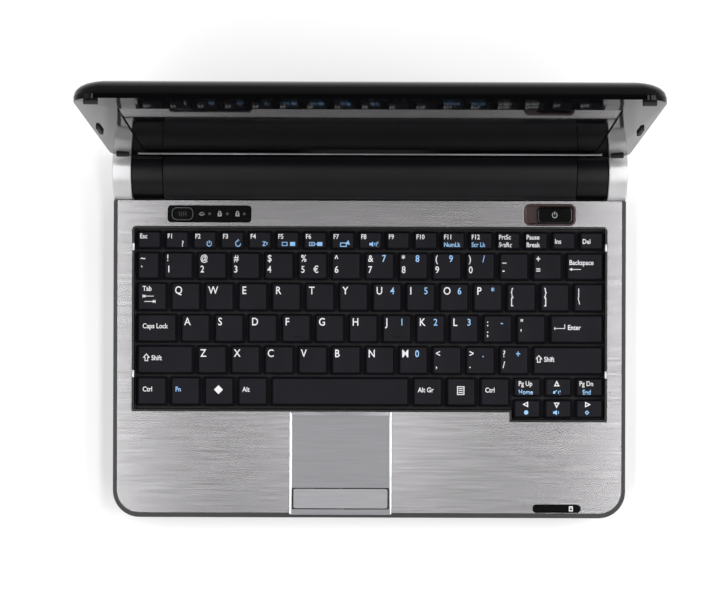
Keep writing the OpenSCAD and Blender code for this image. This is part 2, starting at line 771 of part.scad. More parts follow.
// Soft pads that keep the closed lid off the deck, each set in a pocket, grown by g.
module bumper_blocks(g, w0) {
    translate([0, 0, w0]) linear_extrude(lid_w0 + bumper_seat - w0) for (s = [-1, 1]) {
        for (p = [[half_w - 8, lid_u1 - 5.5], [half_w - 6, lid_u0 + 6]])
            translate([s * p[0], -p[1]]) round_rect(-3.2 - g, 3.2 + g, -1.1 - g, 1.1 + g, 1);
        translate([s * (half_w - 3.4), -lid_u0 - 82])
            round_rect(-0.9 - g, 0.9 + g, -8.5 - g, 8.5 + g, 0.8);
    }
}

module lid_bumpers() {
    color([0.1, 0.1, 0.1]) place_lid() bumper_blocks(0, lid_w0 - bumper_h);
}

// Steel strap that carries the lid on its knuckle.
module lid_bracket(side) {
    w = lid_w0 + bezel_skin;
    color(steel) place_lid() union() {
        translate([side * (half_w - lid_frame - 3.6), 0, 0])
            block(-3, 3, -lid_u0 - 70, -lid_u0 - lid_frame - 0.2, w, w + 1.2);
        translate([side * (half_w - 17), 0, 0])
            block(-10, 10, -lid_u0 - 9.8, -lid_u0 - lid_frame - 0.2, w, w + 1.2);
    }
}
module lid_bracket_left() { lid_bracket(-1); }
module lid_bracket_right() { lid_bracket(1); }

// ---------------------------------------------------------------------------
// Underside

module rubber_feet() {
    color([0.1, 0.1, 0.1]) place_base() for (p = foot_places)
        translate([p[0], p[1], base_z - foot_h]) cylinder(r = foot_r, h = foot_h);
}

module door(bay) {
    color(dark_grey) place_base()
        block(bay[0] + door_gap, bay[1] - door_gap, bay[2] + door_gap, bay[3] - door_gap,
              base_z, base_z + door_t);
}
module memory_door() { door(memory_bay); }
module drive_door() { door(drive_bay); }

module case_screws() {
    color(steel) place_base() for (p = screw_places) translate([p[0], p[1], base_z + 0.2]) {
        difference() {
            cylinder(r = head_r, h = head_h);
            for (a = [0, 90]) rotate(a) translate([-1.5, -0.25, -cut]) cube([3, 0.5, cut + 0.6]);
        }
        cylinder(r = screw_r, h = 8);
    }
}

module battery_latch(side) {
    x = side * latch_x;
    color(dark_grey) place_base() union() {
        block(x - latch[0] / 2, x + latch[0] / 2, latch_y - latch[1] / 2,
              latch_y + latch[1] / 2, base_z + 0.2, floor_z + 0.3);
        block(x - latch[0] / 2 - latch_flange, x + latch[0] / 2 + latch_flange,
              latch_y - latch[1] / 2 - 1.4, latch_y + latch[1] / 2 + 1.4,
              floor_z + 0.1, floor_z + 1.3);
    }
}
module battery_latch_left() { battery_latch(-1); }
module battery_latch_right() { battery_latch(1); }

// ---------------------------------------------------------------------------
// Inside the base

board = [-64, 112, -72, -18];
board_z = -14.6;
board_t = 1.2;
chips = [[-30, -44, 27, 27], [8, -30, 22, 22], [6, -60, 14, 14], [-50, -62, 12, 9]];
chip_t = 1.6;

module motherboard() {
    color(board_green) place_base() difference() {
        block(board[0], board[1], board[2], board[3], board_z, board_z + board_t);
        for (x = [board[0] + 5, board[1] - 5], y = [board[2] + 5, board[3] - 5])
            translate([x, y, board_z - cut]) cylinder(r = 1.4, h = board_t + 2 * cut);
    }
}

module board_chips() {
    color(chip_black) place_base() for (c = chips)
        block(c[0] - c[2] / 2, c[0] + c[2] / 2, c[1] - c[3] / 2, c[1] + c[3] / 2,
              board_z + board_t, board_z + board_t + chip_t);
}

// Copper plate on the processor with a flat pipe to the fan.
module heatsink() {
    z = board_z + board_t + chip_t;
    color([0.72, 0.45, 0.3]) place_base() union() {
        block(-43, 20, -56, -20, z, z + 1);
        block(fan_place[0] + fan_r + 4, -43, -44, -36, z, z + 1);
    }
}

module fan_housing() {
    size = fan_r + 3;
    x = fan_place[0];
    y = fan_place[1];
    z0 = floor_z + 0.2;
    color(chip_black) place_base() union() {
        difference() {
            block(x - size, x + size, y - size, y + size, z0, z0 + 9);
            translate([x, y, z0 + 1]) cylinder(r = fan_r + 1.5, h = 10);
            block(x - size - cut, x, y - 16, y + 16, z0 + 1, z0 + 10);
            translate([x, y, z0 - cut]) difference() {
                cylinder(r = 14, h = 3);
                cylinder(r = 5, h = 3);
                translate([-20, -1.5, 0]) cube([40, 3, 3]);
            }
        }
        translate([x, y, z0]) cylinder(r = 1.5, h = 7);
    }
}

module fan_rotor() {
    z0 = floor_z + 2;
    color([0.15, 0.15, 0.16]) place_base() translate([fan_place[0], fan_place[1], z0])
        difference() {
            union() {
                cylinder(r = 9, h = 6);
                for (a = [0:30:330]) rotate(a) translate([8, -0.5, 0]) cube([fan_r - 8, 1, 6]);
            }
            translate([0, 0, -cut]) cylinder(r = 1.55, h = 8);
        }
}

module hard_drive() {
    color([0.6, 0.6, 0.62]) place_base() round_block(-98, -28, -148, -79, 2, floor_z + 0.4,
                                                    tray_floor_z - tray_t - 1.2);
}

module memory_module() {
    color(board_green) place_base() union() {
        block(31, 98.6, -66, -37, floor_z + 0.5, floor_z + 1.5);
        for (i = [0:3]) block(36 + i * 15, 46 + i * 15, -62, -52, floor_z + 1.5, floor_z + 2.5);
    }
}

module wireless_card() {
    color([0.1, 0.25, 0.4]) place_base() union() {
        block(40, 70, -138, -98, floor_z + 1.5, floor_z + 2.5);
        block(44, 66, -130, -108, floor_z + 2.5, floor_z + 4);
    }
}

module speaker(side) {
    color(chip_black) place_base() translate([side * (half_w - 15), -132, floor_z + 0.2])
        difference() {
            round_block(-9, 9, -8, 8, 3, 0, 7);
            translate([0, 0, 5]) cylinder(r = 6.5, h = 4);
        }
}
module speaker_left() { speaker(-1); }
module speaker_right() { speaker(1); }

// ---------------------------------------------------------------------------
// Sockets

module usb_ports() {
    color(steel) place_base() for (p = usb_places) {
        x = p[0] * (half_w - 7.2);
        translate([x, p[1], port_z]) difference() {
            block(-7, 7, -usb[0] / 2, usb[0] / 2, -usb[1] / 2, usb[1] / 2);
            translate([p[0] * 0.8, 0, 0])
                block(-7, 7, -usb[0] / 2 + 0.5, usb[0] / 2 - 0.5, -usb[1] / 2 + 0.5, 0.2);
            translate([p[0] * 0.8, 0, 0])
                block(-7, 7, -usb[0] / 2 + 0.5, -usb[0] / 2 + 1.2, 0, usb[1] / 2 - 0.5);
        }
    }
}

module audio_jacks() {
    color(chip_black) place_base() for (y = jack_y) translate([-half_w + 0.3, y, port_z])
        rotate([0, 90, 0]) difference() {
            union() {
                cylinder(r = 3.1, h = jack_body[2]);
                translate([-3.2, -3.2, wall]) cube([6.4, 6.4, jack_body[2] - wall]);
            }
            translate([0, 0, -cut]) cylinder(r = jack_r, h = jack_body[2] - 1.5 + cut);
        }
}

module power_inlet() {
    color(chip_black) place_base() translate([-half_w + 0.3, power_y, port_z])
        rotate([0, 90, 0]) union() {
            difference() {
                cylinder(r = 4.1, h = power_body[2]);
                translate([0, 0, -cut]) cylinder(r = power_r, h = power_body[2] - 2 + cut);
            }
            cylinder(r = 0.8, h = power_body[2] - 1);
        }
}

module card_reader() {
    color(chip_black) place_base() difference() {
        union() {
            block(card[0] - 1, card[1] + 1, front_y + wall + 0.1, front_y + 30,
                  card_z - card_body_h / 2, card_z + card_body_h / 2);
            block(card[0], card[1], front_y + 0.3, front_y + wall + 0.2,
                  card_z - card_h / 2, card_z + card_h / 2);
        }
        block(card[0] + 0.4, card[1] - 0.4, front_y - cut, front_y + 28,
              card_z - card_h / 2 + 0.3, card_z + card_h / 2 - 0.3);
    }
}

// ---------------------------------------------------------------------------

bottom_case();
top_case();
deck_panel();
keyboard_tray();
dome_sheet();
keyboard_clips();
touchpad();
touchpad_button();
status_panel();
status_lights();
wireless_slider();
power_surround();
power_slider();
card_label();
battery_case();
battery_cells();
battery_latch_left();
battery_latch_right();
hinge_cap_left();
hinge_cap_right();
hinge_bracket_left();
hinge_bracket_right();
rubber_feet();
memory_door();
drive_door();
case_screws();
motherboard();
board_chips();
heatsink();
fan_housing();
fan_rotor();
hard_drive();
memory_module();
wireless_card();
speaker_left();
speaker_right();
usb_ports();
audio_jacks();
power_inlet();
card_reader();
function_keys();
digit_keys();
upper_letter_keys();
home_letter_keys();
lower_letter_keys();
left_shift_key();
right_shift_key();
enter_key();
left_modifier_keys();
right_modifier_keys();
space_bar();
arrow_keys();
lid_cover();
lid_bezel();
display_panel();
lid_bumpers();
knuckle_left();
knuckle_right();
lid_bracket_left();
lid_bracket_right();
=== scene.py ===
# %% [markdown]
# # A small netbook, standing open on its feet
# The construction, with every real size and every moving part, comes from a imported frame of
# named solids. This script gives it its looks: soft edges, printed legends, brushed metal,
# piano black and matt plastic. Each cell makes one piece or one finish.

# %% Load the frame
import json
import math

import bpy
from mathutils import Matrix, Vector

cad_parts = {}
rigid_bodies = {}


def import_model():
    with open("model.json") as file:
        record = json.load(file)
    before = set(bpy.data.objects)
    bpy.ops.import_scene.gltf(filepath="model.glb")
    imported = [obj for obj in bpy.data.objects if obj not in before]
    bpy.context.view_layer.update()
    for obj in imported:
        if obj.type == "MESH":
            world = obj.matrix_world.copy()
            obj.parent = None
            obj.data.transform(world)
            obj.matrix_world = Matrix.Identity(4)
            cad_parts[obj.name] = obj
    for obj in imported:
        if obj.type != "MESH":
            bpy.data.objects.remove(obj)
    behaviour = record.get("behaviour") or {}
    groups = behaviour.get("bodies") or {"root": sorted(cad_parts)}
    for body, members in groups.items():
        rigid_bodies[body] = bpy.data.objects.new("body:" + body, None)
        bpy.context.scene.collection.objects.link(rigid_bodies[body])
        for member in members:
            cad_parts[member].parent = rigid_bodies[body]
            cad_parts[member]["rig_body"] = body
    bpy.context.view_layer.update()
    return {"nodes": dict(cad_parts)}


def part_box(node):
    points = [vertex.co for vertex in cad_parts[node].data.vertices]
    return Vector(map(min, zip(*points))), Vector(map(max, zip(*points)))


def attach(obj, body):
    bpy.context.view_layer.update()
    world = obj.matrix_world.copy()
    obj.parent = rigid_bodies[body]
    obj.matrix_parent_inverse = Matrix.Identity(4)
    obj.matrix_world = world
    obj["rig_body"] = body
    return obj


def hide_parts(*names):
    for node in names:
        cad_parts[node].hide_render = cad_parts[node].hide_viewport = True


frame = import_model()
nodes = frame["nodes"]
MM = 0.001

# %% [markdown]
# ## Helpers
# Blender's operators act on whatever is selected, so each step starts by selecting nothing.
# A finished piece has its object at the origin and its place in its mesh, as the frame's own
# nodes do.


# %% Selection and finishing helpers
def select_only(*pieces):
    bpy.ops.object.select_all(action="DESELECT")
    for piece in pieces:
        piece.select_set(True)
    bpy.context.view_layer.objects.active = pieces[0]


def apply_place(piece):
    select_only(piece)
    bpy.ops.object.transform_apply(location=True, rotation=True, scale=True)


def body_of(node):
    return nodes[node]["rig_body"]


def block(name, place, size, rotation=(0, 0, 0)):
    """A box of the given size, centred on place, as the start of a small piece."""
    bpy.ops.object.select_all(action="DESELECT")
    bpy.ops.mesh.primitive_cube_add(size=1, location=place, rotation=rotation)
    piece = bpy.context.object
    piece.name = name
    piece.scale = size
    apply_place(piece)
    return piece


def round_over(piece, width_mm, segments=3):
    """Rounds each edge that turns by more than 30 degrees."""
    edge = piece.modifiers.new("edge", "BEVEL")
    edge.width = width_mm * MM
    edge.segments = segments
    bpy.ops.object.modifier_apply(modifier="edge")


def smooth(piece, degrees=35):
    select_only(piece)
    bpy.ops.object.shade_smooth_by_angle(angle=math.radians(degrees))


def give(piece, material):
    piece.data.materials.clear()
    piece.data.materials.append(material)


# %% [markdown]
# ## Colour and material helpers
# Colours are written as sRGB hex, the way a painter's chart gives them, and one function
# turns them to the linear values that the renderer works in.


# %% Colour and node helpers
def rgb(code):
    parts = [int(code[i:i + 2], 16) / 255 for i in (1, 3, 5)]
    linear = [c / 12.92 if c <= 0.04045 else ((c + 0.055) / 1.055) ** 2.4 for c in parts]
    return (*linear, 1.0)


def add(tree, kind, settings=(), **links):
    """Adds a node. settings are pairs of a property or socket and its value; links name a
    socket and give the output that feeds it."""
    made = tree.nodes.new(kind)
    for key, value in dict(settings).items():
        if key in made.inputs:
            made.inputs[key].default_value = value
        else:
            setattr(made, key, value)
    for key, output in links.items():
        tree.links.new(output, made.inputs[key.replace("_", " ")])
    return made


def principled(name, colour, rough, metal=0.0, **sockets):
    """A new material with one Principled shader. Returns the material, its tree, its shader
    and object coordinates."""
    material = bpy.data.materials.new(name)
    material.use_nodes = True
    tree = material.node_tree
    shader = tree.nodes["Principled BSDF"]
    shader.inputs["Base Color"].default_value = rgb(colour)
    shader.inputs["Roughness"].default_value = rough
    shader.inputs["Metallic"].default_value = metal
    for key, value in sockets.items():
        shader.inputs[key.replace("_", " ")].default_value = value
    coords = add(tree, "ShaderNodeTexCoord").outputs["Object"]
    return material, tree, shader, coords


def pattern(tree, coords, per_mm, detail=3.0, stretch=(1, 1, 1)):
    """Noise with one feature every 1 / per_mm millimetres, stretched along an axis."""
    scale = tuple(per_mm / MM / s for s in stretch)
    place = add(tree, "ShaderNodeMapping", {"Scale": scale}, Vector=coords)
    return add(tree, "ShaderNodeTexNoise", {"Scale": 1.0, "Detail": detail},
               Vector=place.outputs["Vector"]).outputs["Fac"]


def blend_colours(tree, factor, dark, light):
    ramp = add(tree, "ShaderNodeValToRGB", Fac=factor)
    ramp.color_ramp.elements[0].position = 0.3
    ramp.color_ramp.elements[0].color = rgb(dark)
    ramp.color_ramp.elements[1].position = 0.7
    ramp.color_ramp.elements[1].color = rgb(light)
    return ramp.outputs["Color"]


def roughness_range(tree, factor, low, high):
    return add(tree, "ShaderNodeMapRange", {"To Min": low, "To Max": high},
               Value=factor).outputs["Result"]


def bump(tree, shader, height, depth_mm, strength=1.0):
    made = add(tree, "ShaderNodeBump", {"Strength": strength, "Distance": depth_mm * MM},
               Height=height)
    tree.links.new(made.outputs["Normal"], shader.inputs["Normal"])


# %% [markdown]
# ## Camera, floor and light
# The view is from straight above, from a little over a metre, with a long lens. The camera
# sits over the middle of the base, so that the raised lid leans out towards the top of the
# view. The floor is a flat white sheet. It glows a little to the camera and to reflections,
# so that the ground stays pale while the object still throws its shadow on it.

# %% Camera
deck_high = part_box("deck_panel")[1]
deck_z = deck_high.z
camera_height = 1160 * MM        # above the deck
camera_from_rear = 47.7 * MM     # in front of the deck's rear edge
camera_roll = math.radians(0.18)
camera_data = bpy.data.cameras.new("camera")
camera_data.lens = 113.8
camera_data.sensor_width = 36
camera_data.shift_x = -0.0112
camera_data.clip_start = 0.05
camera = bpy.data.objects.new("camera", camera_data)
bpy.context.scene.collection.objects.link(camera)
camera.location = (0, deck_high.y - camera_from_rear, deck_z + camera_height)
camera.rotation_euler = (0, 0, camera_roll)
bpy.context.scene.camera = camera

# %% Floor
floor_side, floor_glow = 16, 0.15    # metres, and the share of full white
bpy.ops.object.select_all(action="DESELECT")
bpy.ops.mesh.primitive_plane_add(size=floor_side, location=(0, 0, 0))
floor = bpy.context.object
floor.name = "floor"
white_sweep, tree, shader, coords = principled("white_paper_sweep", "#f2f2f2", 0.9)
shader.inputs["Specular IOR Level"].default_value = 0.1
path = add(tree, "ShaderNodeLightPath")
seen = add(tree, "ShaderNodeMath", {"operation": "MAXIMUM"})
tree.links.new(path.outputs["Is Camera Ray"], seen.inputs[0])
tree.links.new(path.outputs["Is Glossy Ray"], seen.inputs[1])
lift = add(tree, "ShaderNodeMath", {"operation": "MULTIPLY"})
tree.links.new(seen.outputs["Value"], lift.inputs[0])
lift.inputs[1].default_value = floor_glow
shader.inputs["Emission Color"].default_value = (1, 1, 1, 1)
tree.links.new(lift.outputs["Value"], shader.inputs["Emission Strength"])
give(floor, white_sweep)

# %% [markdown]
# ## Light
# Metal seen from above mirrors the ceiling, and black lacquer mirrors what is round it. So
# the room has a dim ceiling and bright walls: from above the black stays black, and from
# the side the metal still looks like metal. Two long soft lamps hang to the left and right.
# The metal mirrors them softly, so it is brightest towards its two sides. A small lamp does
# the same for the palm rest, and two large ones further out light the colours.

# %% Light
world = bpy.data.worlds.new("studio")
bpy.context.scene.world = world
world.use_nodes = True
background = world.node_tree.nodes["Background"]
background.inputs["Color"].default_value = (1, 1, 1, 1)
# bright walls up to 30 degrees above the horizon, and a dim ceiling above 64 degrees
direction = add(world.node_tree, "ShaderNodeTexCoord").outputs["Generated"]
height = add(world.node_tree, "ShaderNodeSeparateXYZ", Vector=direction).outputs["Z"]
room = add(world.node_tree, "ShaderNodeMapRange",
           {"From Min": 0.5, "From Max": 0.9, "To Min": 0.75, "To Max": 0.06}, Value=height)
world.node_tree.links.new(room.outputs["Result"], background.inputs["Strength"])


def softbox(name, place, target, size, power):
    data = bpy.data.lights.new(name, "AREA")
    data.shape = "RECTANGLE"
    data.size, data.size_y = size
    data.energy = power
    lamp = bpy.data.objects.new(name, data)
    bpy.context.scene.collection.objects.link(lamp)
    lamp.location = place
    lamp.rotation_euler = (Vector(target) - Vector(place)).to_track_quat("-Z", "Y").to_euler()
    return lamp


softbox("right_strip", (0.55, -0.05, 1.7), (0, -0.05, 0), (2.2, 0.25), 11.4)
softbox("left_strip", (-0.55, -0.05, 1.7), (0, -0.05, 0), (2.2, 0.25), 11.2)
softbox("palm_strip", (0, -0.13, 1.75), (0, -0.1, 0), (0.15, 0.3), 0.34)
softbox("right_side", (1.6, 0.15, 1.7), (0, 0, 0), (1.3, 1.0), 20)
softbox("left_side", (-1.6, 0.15, 1.7), (0, 0, 0), (1.3, 1.0), 5)
bpy.context.scene.view_settings.view_transform = "Standard"

# %% [markdown]
# ## Finishes
# The deck is anodised aluminium, brushed across its width. Brushing leaves fine parallel
# scratches, so the pattern is noise that is drawn out along X and packed tight along Y. The
# anodised film keeps the metal a quiet grey, with soft reflections.


# %% Brushed aluminium
def brushed_aluminium(name, dark, light, rough, depth):
    material, tree, shader, coords = principled(name, light, rough, metal=0.95)
    # scratches about 0.35 mm apart and tens of millimetres long
    scratches = pattern(tree, coords, 2.8, detail=4, stretch=(60, 1, 1))
    # bunches of scratches about 1 mm wide, which is what the eye sees from a metre away
    streaks = pattern(tree, coords, 1.3, detail=4, stretch=(30, 1, 1))
    tree.links.new(blend_colours(tree, streaks, dark, light), shader.inputs["Base Color"])
    tree.links.new(roughness_range(tree, scratches, rough - 0.01, rough + 0.01),
                   shader.inputs["Roughness"])
    bump(tree, shader, scratches, depth)
    return material


deck_metal = brushed_aluminium("brushed_aluminium_deck", "#acaaac", "#c3c1c3", 0.22, 0.0004)
pad_metal = brushed_aluminium("satin_touch_surface", "#838386", "#8b8b8e", 0.42, 0.0004)
button_metal = brushed_aluminium("satin_button_surface", "#919194", "#99999c", 0.42, 0.0004)
edge_metal = brushed_aluminium("polished_aluminium_edge", "#d6d6d6", "#e2e2e2", 0.25, 0.001)


# %% [markdown]
# ### Piano black
# The lid and the trim are ABS under a thick clear lacquer, which reads as a near-black
# mirror. A separate coat could be laid over the colour, but over black it only doubles the
# reflection, so one layer with a low roughness is enough. Its only relief is the faint long
# wave of moulded plastic.

# %% Piano black
def piano_black(name, colour, rough):
    material, tree, shader, coords = principled(name, colour, rough, IOR=1.45)
    wave = pattern(tree, coords, 0.05, detail=1)
    bump(tree, shader, wave, 0.02, 0.2)
    dust = pattern(tree, coords, 1.2, detail=6)
    tree.links.new(roughness_range(tree, dust, rough * 0.7, rough * 1.6),
                   shader.inputs["Roughness"])
    return material


lid_black = piano_black("piano_black_lid", "#050506", 0.05)
lid_black.node_tree.nodes["Principled BSDF"].inputs["Specular IOR Level"].default_value = 0.15
trim_black = piano_black("gloss_black_trim", "#070708", 0.1)


# %% [markdown]
# ### Moulded plastics and rubber
# Moulded ABS and rubber take the grain of their mould: fine, even and shallow. The grain is
# noise, which changes the roughness a little and lifts the surface by a few thousandths of
# a millimetre. A second, very broad noise keeps the colour from being flat.

# %% Moulded plastics and rubber
def moulded(name, dark, light, rough, per_mm=3.0, depth=0.02, metal=0.0, spread=0.06):
    material, tree, shader, coords = principled(name, light, rough, metal=metal)
    grain = pattern(tree, coords, per_mm, detail=5)
    tone = pattern(tree, coords, 0.08, detail=2)
    tree.links.new(blend_colours(tree, tone, dark, light), shader.inputs["Base Color"])
    tree.links.new(roughness_range(tree, grain, rough - spread, rough + spread),
                   shader.inputs["Roughness"])
    bump(tree, shader, grain, depth, 0.5)
    return material


key_plastic = moulded("matt_abs_keys", "#131217", "#17161c", 0.5, depth=0.012)
key_plastic.node_tree.nodes["Principled BSDF"].inputs["Specular IOR Level"].default_value = 0.1
barrel_black = moulded("satin_abs_black", "#0c0b0e", "#100f12", 0.35, depth=0.006)
barrel_black.node_tree.nodes["Principled BSDF"].inputs["Specular IOR Level"].default_value = 0.2
tray_black = moulded("satin_black_tray", "#060607", "#09090a", 0.3, depth=0.004)
rim_grey = moulded("satin_grey_rim", "#1e1e20", "#252527", 0.4, metal=0.0, depth=0.006)
case_grey = moulded("textured_grey_casing", "#3c3c3f", "#48484b", 0.55, per_mm=2.0, depth=0.05)
rubber = moulded("moulded_rubber", "#101011", "#19191a", 0.75, per_mm=2.0, depth=0.03)
cap_silver = moulded("metallic_silver_paint", "#cdcdcf", "#d5d5d6", 0.3, metal=0.5,
                     depth=0.004)

# %% [markdown]
# ### Metal, boards and small parts
# The parts inside and the sockets are stamped steel, copper, green boards and black epoxy.
# They reuse the two makers above with their own colours, because they differ in colour and
# gloss more than in grain.

# %% Metal, boards and small parts
steel = brushed_aluminium("stamped_steel", "#b8b8ba", "#dededf", 0.3, 0.004)
copper = moulded("drawn_copper", "#a8603c", "#c47a50", 0.32, metal=1.0, depth=0.004)
board_green = moulded("solder_mask_green", "#0c4a33", "#14603f", 0.35, per_mm=1.5)
chip_black = moulded("moulded_epoxy", "#17171a", "#222225", 0.6, per_mm=4.0)
cell_sleeve = moulded("shrink_sleeve_blue", "#2c5a8c", "#3a6ea6", 0.35)
bronze = moulded("bronze_tinted_abs", "#3a2c2c", "#453534", 0.25, metal=0.5, depth=0.002)
drive_paint = moulded("cast_aluminium", "#8d8d90", "#a5a5a8", 0.45, metal=0.7)
legend_white = moulded("white_legend_ink", "#d8d8da", "#e6e6e8", 0.5, depth=0.002)
legend_blue = moulded("blue_legend_ink", "#7fb4e6", "#9cc8f2", 0.5, depth=0.002)
legend_grey = moulded("grey_legend_ink", "#8e8e92", "#9c9ca0", 0.5, depth=0.002)
light_guide, tree, shader, coords = principled("clear_light_guide", "#3a3a3e", 0.25,
                                               Coat_Weight=0.5)
bump(tree, shader, pattern(tree, coords, 2.0), 0.01)

# %% [markdown]
# ### Screen
# The panel has a hard glossy film over black. Switched off, it mirrors the keyboard. A
# perfect mirror would look false, so a very long and shallow wave bends the reflection.

# %% Screen
screen_glass, tree, shader, coords = principled("glossy_dark_screen", "#070709", 0.03,
                                                IOR=1.45)
bump(tree, shader, pattern(tree, coords, 0.03, detail=1), 0.01, 0.15)
print("finishes:", len(bpy.data.materials))

# %% [markdown]
# ## Soft edges on the moulded and stamped parts
# A real casing never has a knife edge: the mould is rounded and sheet metal is broken over.
# The frame's solids have sharp edges, so each visible part is copied, its loose triangles
# are welded and merged into flat faces, and a bevel as wide as the real radius is applied.


# %% A softened copy of a frame part
def soften(node, width_mm, material, segments=3, smooth_at=35, edge_at=28, only=None):
    """only names the edges to round, by their two ends. Without it, all that turn by more
    than edge_at degrees are rounded."""
    mesh = nodes[node].data.copy()
    piece = bpy.data.objects.new(node + "_shell", mesh)
    bpy.context.scene.collection.objects.link(piece)
    select_only(piece)
    bpy.ops.object.mode_set(mode="EDIT")
    bpy.ops.mesh.select_all(action="SELECT")
    bpy.ops.mesh.remove_doubles(threshold=0.002 * MM)
    bpy.ops.mesh.dissolve_limited(angle_limit=math.radians(0.3))
    bpy.ops.object.mode_set(mode="OBJECT")
    if width_mm:
        edge = piece.modifiers.new("edge", "BEVEL")
        edge.width = width_mm * MM
        edge.segments = segments
        edge.limit_method = "ANGLE"
        edge.angle_limit = math.radians(edge_at)
        if only:
            edge.limit_method = "WEIGHT"
            weights = mesh.attributes.new("bevel_weight_edge", "FLOAT", "EDGE")
            for line in mesh.edges:
                ends = [mesh.vertices[i].co for i in line.vertices]
                weights.data[line.index].value = float(only(*ends))
        bpy.ops.object.modifier_apply(modifier="edge")
    smooth(piece, smooth_at)
    flat = piece.modifiers.new("flat faces", "WEIGHTED_NORMAL")
    flat.keep_sharp = True
    bpy.ops.object.modifier_apply(modifier="flat faces")
    give(piece, material)
    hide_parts(node)
    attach(piece, body_of(node))
    return piece


key_nodes = ["function_keys", "digit_keys", "upper_letter_keys", "home_letter_keys",
             "lower_letter_keys", "left_shift_key", "right_shift_key", "enter_key",
             "left_modifier_keys", "right_modifier_keys", "space_bar", "arrow_keys"]
caps = {name: soften(name, 0.5, key_plastic, smooth_at=50) for name in key_nodes}
print("key caps:", sum(len(piece.data.polygons) for piece in caps.values()), "faces")

# %% [markdown]
# ### Which part has which edge and finish
# A table is easier to read and to change than a cell for each part: it gives the radius in
# millimetres and the finish. The deck comes last, because only its rolled edges are rounded.

# %% Casings, lid and trim
shells = {
    "bottom_case": (0.7, case_grey), "top_case": (0.5, rim_grey),
    "keyboard_tray": (0.25, tray_black),
    "touchpad": (0.3, pad_metal), "touchpad_button": (0.35, button_metal),
    "status_panel": (0.25, trim_black), "wireless_slider": (0.3, trim_black),
    "power_surround": (0.3, bronze), "power_slider": (0.9, trim_black),
    "card_label": (0.1, trim_black), "keyboard_clips": (0.25, steel),
    "battery_case": (0.3, barrel_black), "hinge_cap_left": (0.6, cap_silver),
    "hinge_cap_right": (0.6, cap_silver), "knuckle_left": (0.4, barrel_black),
    "knuckle_right": (0.4, barrel_black), "lid_cover": (0, lid_black),
    "lid_bezel": (0.5, lid_black), "lid_bumpers": (0.25, rubber),
    "rubber_feet": (0.5, rubber), "memory_door": (0.25, case_grey),
    "drive_door": (0.25, case_grey), "battery_latch_left": (0.3, rim_grey),
    "battery_latch_right": (0.3, rim_grey), "case_screws": (0.15, steel),
    "hard_drive": (0.4, drive_paint), "fan_rotor": (0.15, chip_black),
}
shell = {name: soften(name, width, material) for name, (width, material) in shells.items()}

# The deck's sheet is rolled over along its openings, wider than at the thin label's seat.
label_low, label_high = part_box("card_label")


def rolled_edge(a, b):
    middle = (a + b) / 2
    at_label = (label_low.x - 1 * MM < middle.x < label_high.x + 1 * MM
                and label_low.y - 1 * MM < middle.y < label_high.y + 1 * MM)
    return min(a.z, b.z) > deck_z - 0.01 * MM and not at_label


shell["deck_panel"] = soften("deck_panel", 0.8, deck_metal, segments=4, only=rolled_edge)
print("shells:", len(shell))

# %% [markdown]
# ### Parts that keep the frame's own mesh
# The screen and the parts inside need no soft edges, so they only get their finish.

# %% Finishes of the plain parts
plain_finish = {
    "display_panel": screen_glass, "dome_sheet": rubber, "battery_cells": cell_sleeve,
    "hinge_bracket_left": steel, "hinge_bracket_right": steel, "lid_bracket_left": steel,
    "lid_bracket_right": steel, "motherboard": board_green, "board_chips": chip_black,
    "heatsink": copper, "fan_housing": chip_black, "memory_module": board_green,
    "wireless_card": board_green, "speaker_left": chip_black, "speaker_right": chip_black,
    "usb_ports": steel, "audio_jacks": chip_black, "power_inlet": chip_black,
    "card_reader": chip_black, "status_lights": light_guide,
}
for name, material in plain_finish.items():
    give(nodes[name], material)

# %% [markdown]
# ## Printed legends
# Legends are pad printed or laser marked, so they have almost no thickness. Each is made as
# text, turned into a mesh, placed flat over its key and then pressed down onto the dished
# key top with a Shrinkwrap modifier, which leaves it a few hundredths above the plastic.

# %% Where the keys are
key_gap = 0.9 * MM
letters_low, letters_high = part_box("upper_letter_keys")
unit = (letters_high.x - letters_low.x + key_gap) / 14
field_left = letters_low.x - key_gap / 2
arrow_width = 2.78 / 3
key_rows = {
    "function_keys": (0, [14 / 17] * 17),
    "digit_keys": (0, [0.78] + [1] * 12 + [1.22]),
    "upper_letter_keys": (0, [1] * 14),
    "home_letter_keys": (0, [1.3] + [1] * 11),
    "enter_key": (12.3, [1.7]),
    "left_shift_key": (0, [1.79]),
    "lower_letter_keys": (1.79, [1] * 10),
    "right_shift_key": (11.79, [2.21]),
    "left_modifier_keys": (0, [1] * 4),
    "right_modifier_keys": (8.22, [1] * 3),
    "arrow_keys": (11.22, [arrow_width] * 3),
}


def key_corner(row, index):
    """The rear left corner of a key's cell."""
    start, widths = key_rows[row]
    x = field_left + (start + sum(widths[:index])) * unit
    return x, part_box(row)[1].y + key_gap / 2


# %% [markdown]
# ### Text and flat shapes
# Text could be cut into the keys, but ink has no depth, and a cut would need far more faces.
# So each mark is a flat mesh. Marks are drawn a little above the deck and pressed down later.

# %% Flat marks
def print_text(text, x, y, size_mm, ink, squeeze=0.86, bold_mm=0.05):
    """One legend, centred in height on y, with its left edge at x."""
    bpy.ops.object.select_all(action="DESELECT")
    bpy.ops.object.text_add(location=(x, y - 0.34 * size_mm * MM, deck_z + 3 * MM))
    mark = bpy.context.object
    mark.data.body = text
    mark.data.size = size_mm * MM
    mark.data.offset = bold_mm * MM
    mark.data.resolution_u = 3
    mark.scale.x = squeeze
    bpy.ops.object.convert(target="MESH")
    mark = bpy.context.object
    apply_place(mark)
    give(mark, ink)
    return mark


